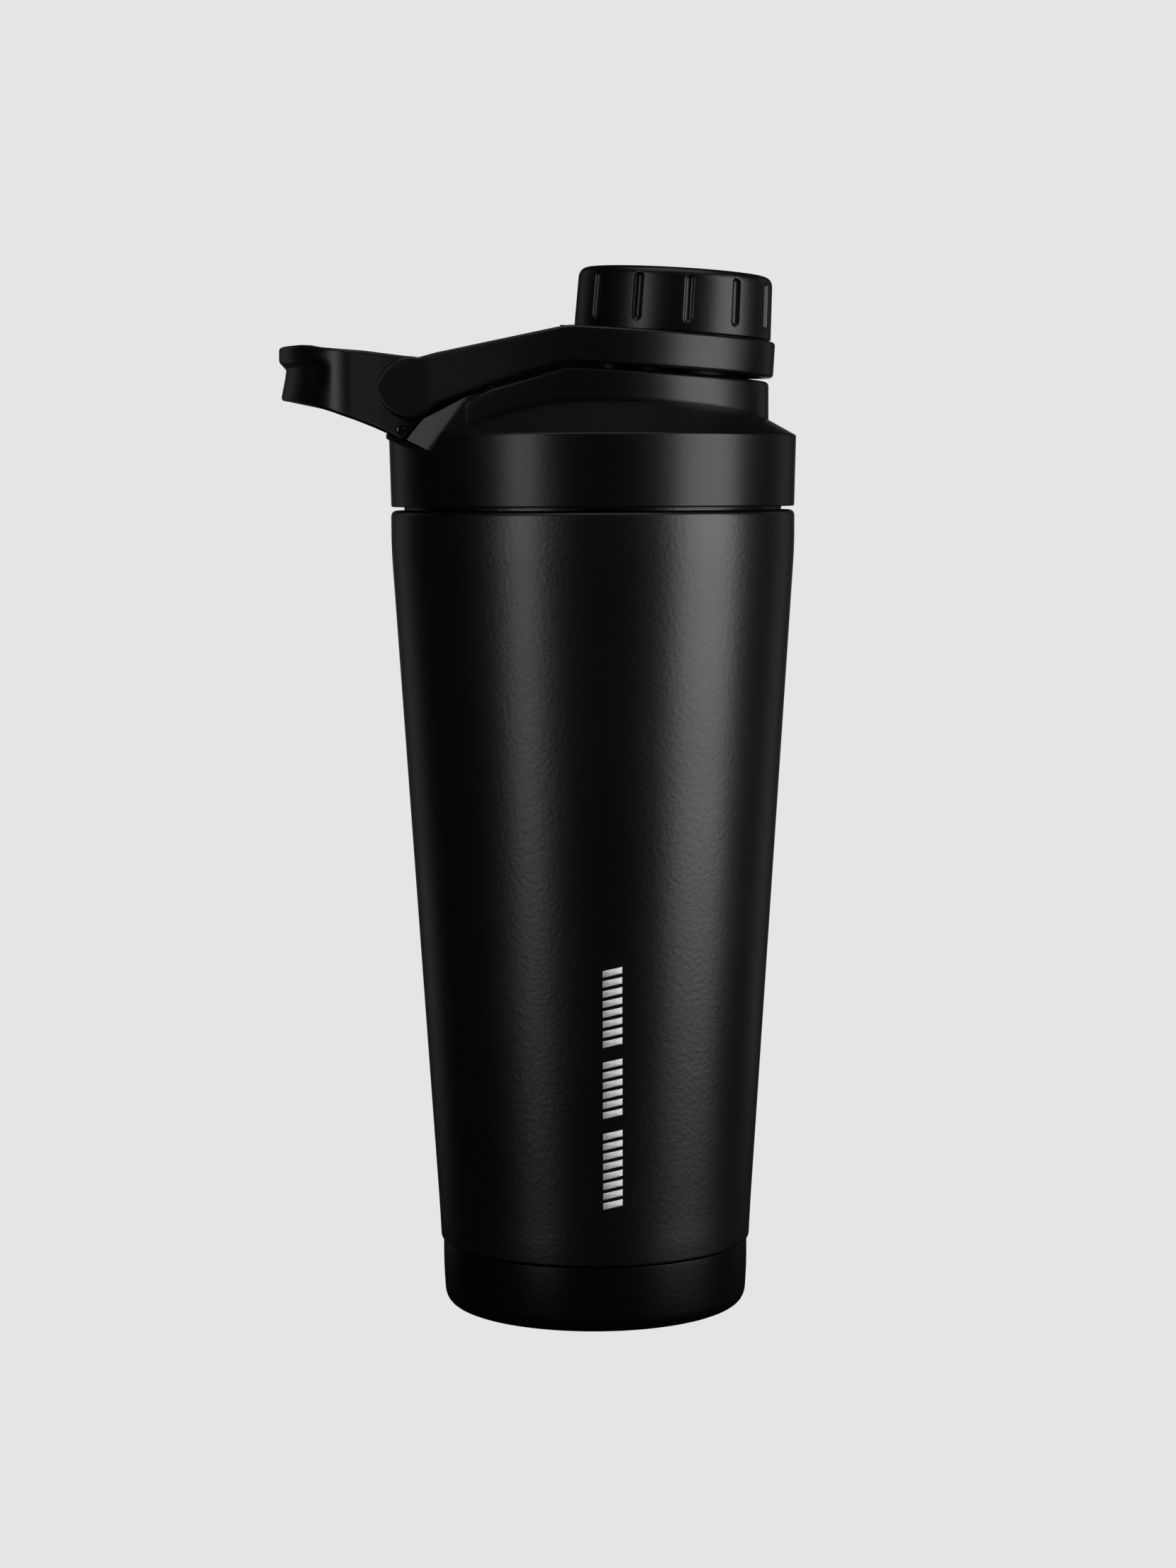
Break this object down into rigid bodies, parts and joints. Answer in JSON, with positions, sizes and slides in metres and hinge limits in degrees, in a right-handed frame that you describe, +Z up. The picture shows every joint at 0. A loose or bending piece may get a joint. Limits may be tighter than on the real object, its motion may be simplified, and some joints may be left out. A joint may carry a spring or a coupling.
{
  "type": "shaker bottle",
  "caption": "Tapered double-wall steel shaker bottle with a screw lid, a spout under a tethered screw cap on a hinged yoke, and a swinging carry loop.",
  "frame": {"origin": "centre of the resting face under the foot, on the bottle's axis", "axes": "+Z up the bottle's axis, +X towards the drinking spout, the carry loop is on -X, -Y is the front"},
  "size_m": [0.1173, 0.0924, 0.2375],
  "materials": {
    "powder_coat": "satin black powder coat with a fine orange-peel grain",
    "stainless": "electropolished stainless steel",
    "moulded_pp": "fine-textured black polypropylene",
    "natural_pp": "dark grey moulded polypropylene",
    "silicone": "soft matt silicone",
    "getter_alloy": "sintered grey metal"
  },
  "bodies": {
    "bottle": {"outer_shell": "powder_coat", "inner_vessel": "stainless", "foot_cup": "powder_coat", "foot_pad": "silicone", "base_plate": "stainless", "vacuum_plug": "stainless", "getter": "getter_alloy"},
    "grid": {"mixing_grid": "natural_pp"},
    "seal": {"lid_gasket": "silicone"},
    "lid": {"lid_shell": "moulded_pp", "lid_ring": "natural_pp"},
    "loop": {"carry_loop": "moulded_pp", "stop_pin_front": "stainless", "stop_pin_back": "stainless"},
    "yoke": {"yoke": "moulded_pp", "hinge_pin_front": "stainless", "hinge_pin_back": "stainless"},
    "cap": {"cap_shell": "moulded_pp", "cap_liner": "natural_pp", "cap_gasket": "silicone", "cap_retainer": "natural_pp"}
  },
  "joints": [
    {"name": "lid_lift", "type": "slide", "parent": "bottle", "child": "grid", "axis": [0, 0, 1], "range_m": [0, 0.06]},
    {"name": "lid_rise", "type": "slide", "parent": "grid", "child": "seal", "axis": [0, 0, 1], "range_m": [0, 0.005]},
    {"name": "lid_turn", "type": "hinge", "parent": "seal", "child": "lid", "pos_m": [0, 0, 0.19], "axis": [0, 0, 1], "range_deg": [0, 450]},
    {"name": "yoke_swing", "type": "hinge", "parent": "lid", "child": "yoke", "pos_m": [-0.04, 0, 0.2097], "axis": [0, -1, 0], "range_deg": [0, 180]},
    {"name": "cap_turn", "type": "hinge", "parent": "yoke", "child": "cap", "pos_m": [0.0176, 0, 0.21287], "axis": [0.061, 0, 0.9981], "continuous": true},
    {"name": "loop_swing", "type": "hinge", "parent": "lid", "child": "loop", "pos_m": [-0.04, 0, 0.2097], "axis": [0, 1, 0], "range_deg": [0, 110]}
  ],
  "couplings": [
    {"joint": "lid_rise", "follows": "lid_turn", "m_per_rad": 0.00063662}
  ]
}
